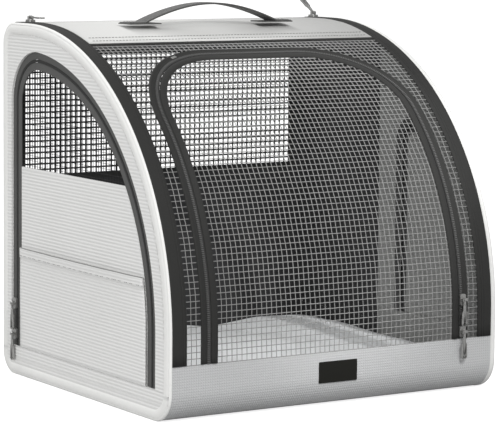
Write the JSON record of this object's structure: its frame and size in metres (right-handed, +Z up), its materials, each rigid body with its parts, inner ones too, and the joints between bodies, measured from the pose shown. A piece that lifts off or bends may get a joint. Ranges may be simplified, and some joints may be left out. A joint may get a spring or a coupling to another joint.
{
  "type": "collapsible dog crate",
  "caption": "Soft-sided collapsible dog crate with an arched mesh front, zipped front and side doors, fold-in side panels, mesh back window, padded mat and a top webbing handle.",
  "frame": {"origin": "middle of the footprint on the ground", "axes": "+Z up, -Y towards the arched mesh front, +X to the right seen from the front"},
  "size_m": [0.5126, 0.4595, 0.5174],
  "materials": {
    "white_cloth": "ribbed weave",
    "strip_cloth": "fine grid weave",
    "dark_lining": "plain weave",
    "dark_tape": "zip tape",
    "zip_coil": "coil teeth",
    "net": "open square net",
    "webbing": "flat webbing",
    "zip_metal": "gun metal",
    "cushion_cloth": "soft plush",
    "patch": "plain",
    "board": "stiff board"
  },
  "bodies": {
    "crate_cover": {"floor_sheet": "white_cloth", "front_base_strip": "strip_cloth", "blank_patch": "patch", "top_panel": "white_cloth", "top_lining": "dark_lining", "back_wall": "white_cloth", "back_lining": "dark_lining", "back_window_tape": "dark_tape", "back_window_net": "net", "left_rim": "white_cloth", "right_rim": "white_cloth", "left_arch_rim_tape": "dark_tape", "left_arch_coil": "zip_coil", "left_arch_net_tape": "dark_tape", "right_arch_rim_tape": "dark_tape", "right_arch_coil": "zip_coil", "right_arch_net_tape": "dark_tape", "front_net_surround": "net", "front_frame_tape": "dark_tape", "front_door_coil": "zip_coil", "left_lower_band": "white_cloth", "right_lower_band": "white_cloth", "floor_board": "board", "cushion": "cushion_cloth", "handle_strap": "webbing", "left_handle_tab": "webbing", "right_handle_tab": "webbing", "front_door_slider": "zip_metal"},
    "left_side": {"left_side_panel": "white_cloth", "left_side_lining": "dark_lining", "left_panel_tape": "dark_tape", "left_door_coil": "zip_coil", "left_door_slider": "zip_metal"},
    "right_side": {"right_side_panel": "white_cloth", "right_side_lining": "dark_lining", "right_panel_tape": "dark_tape", "right_door_coil": "zip_coil"},
    "left_door": {"left_door_tape": "dark_tape", "left_door_fabric": "white_cloth", "left_door_net": "net", "left_pocket": "white_cloth", "left_pocket_hem": "white_cloth"},
    "right_door": {"right_door_tape": "dark_tape", "right_door_fabric": "white_cloth"},
    "front_door": {"front_door_tape": "dark_tape", "front_door_net": "net"},
    "left_door_upper_slider": {"left_door_slider_upper": "zip_metal"},
    "left_door_lower_pull": {"left_door_pull": "zip_metal"},
    "left_door_upper_pull": {"left_door_pull_upper": "zip_metal"},
    "right_door_slider_body": {"right_door_slider": "zip_metal"},
    "right_door_pull_body": {"right_door_pull": "zip_metal"},
    "front_upper_slider": {"front_door_slider_upper": "zip_metal"},
    "front_lower_pull": {"front_door_pull": "zip_metal"},
    "front_upper_pull": {"front_door_pull_upper": "zip_metal"},
    "left_arch_slider_body": {"left_arch_slider": "zip_metal"},
    "left_arch_pull_body": {"left_arch_pull": "zip_metal"},
    "right_arch_slider_body": {"right_arch_slider": "zip_metal"},
    "right_arch_pull_body": {"right_arch_pull": "zip_metal"}
  },
  "joints": [
    {"name": "left_side_fold", "type": "hinge", "parent": "crate_cover", "child": "left_side", "pos_m": [-0.242, 0, 0.052], "axis": [0, 1, 0], "range_deg": [0, 90]},
    {"name": "right_side_fold", "type": "hinge", "parent": "crate_cover", "child": "right_side", "pos_m": [0.242, 0, 0.072], "axis": [0, -1, 0], "range_deg": [0, 90]},
    {"name": "front_door_open", "type": "hinge", "parent": "crate_cover", "child": "front_door", "pos_m": [0, -0.225, 0.073], "axis": [1, 0, 0], "range_deg": [0, 105]},
    {"name": "left_door_open", "type": "hinge", "parent": "left_side", "child": "left_door", "pos_m": [-0.25, 0, 0.04], "axis": [0, -1, 0], "range_deg": [0, 90]},
    {"name": "right_door_open", "type": "hinge", "parent": "right_side", "child": "right_door", "pos_m": [0.25, 0, 0.078], "axis": [0, 1, 0], "range_deg": [0, 90]},
    {"name": "left_door_slider_up", "type": "slide", "parent": "left_side", "child": "left_door_upper_slider", "axis": [0, 0, 1], "range_m": [0, 0.24]},
    {"name": "left_lower_pull_swing", "type": "hinge", "parent": "left_side", "child": "left_door_lower_pull", "pos_m": [-0.2539, 0.1891, 0.056], "axis": [0, -1, 0], "range_deg": [-130, 0]},
    {"name": "left_upper_pull_swing", "type": "hinge", "parent": "left_door_upper_slider", "child": "left_door_upper_pull", "pos_m": [-0.2539, 0.1891, 0.098], "axis": [0, -1, 0], "range_deg": [-130, 0]},
    {"name": "right_door_slider_up", "type": "slide", "parent": "right_side", "child": "right_door_slider_body", "axis": [0, 0, 1], "range_m": [0, 0.2]},
    {"name": "right_pull_swing", "type": "hinge", "parent": "right_door_slider_body", "child": "right_door_pull_body", "pos_m": [0.2539, -0.0224, 0.094], "axis": [0, 1, 0], "range_deg": [-130, 0]},
    {"name": "front_slider_up", "type": "hinge", "parent": "crate_cover", "child": "front_upper_slider", "pos_m": [0, 0.15, 0.105], "axis": [-1, 0, 0], "range_deg": [0, 30]},
    {"name": "front_lower_pull_swing", "type": "hinge", "parent": "crate_cover", "child": "front_lower_pull", "pos_m": [0.1959, -0.2321, 0.083], "axis": [1, 0, 0], "range_deg": [-130, 0]},
    {"name": "front_upper_pull_swing", "type": "hinge", "parent": "front_upper_slider", "child": "front_upper_pull", "pos_m": [0.1959, -0.23156, 0.12537], "axis": [1, 0, 0], "range_deg": [-130, 0]},
    {"name": "left_arch_slider_forward", "type": "slide", "parent": "crate_cover", "child": "left_arch_slider_body", "axis": [0, -1, 0], "range_m": [0, 0.025]},
    {"name": "left_arch_pull_lift", "type": "hinge", "parent": "left_arch_slider_body", "child": "left_arch_pull_body", "pos_m": [-0.2299, 0.1815, 0.4871], "axis": [-1, 0, 0], "range_deg": [0, 150]},
    {"name": "right_arch_slider_forward", "type": "slide", "parent": "crate_cover", "child": "right_arch_slider_body", "axis": [0, -1, 0], "range_m": [0, 0.025]},
    {"name": "right_arch_pull_lift", "type": "hinge", "parent": "right_arch_slider_body", "child": "right_arch_pull_body", "pos_m": [0.2299, 0.1815, 0.4871], "axis": [1, 0, 0], "range_deg": [-28, 110]}
  ]
}
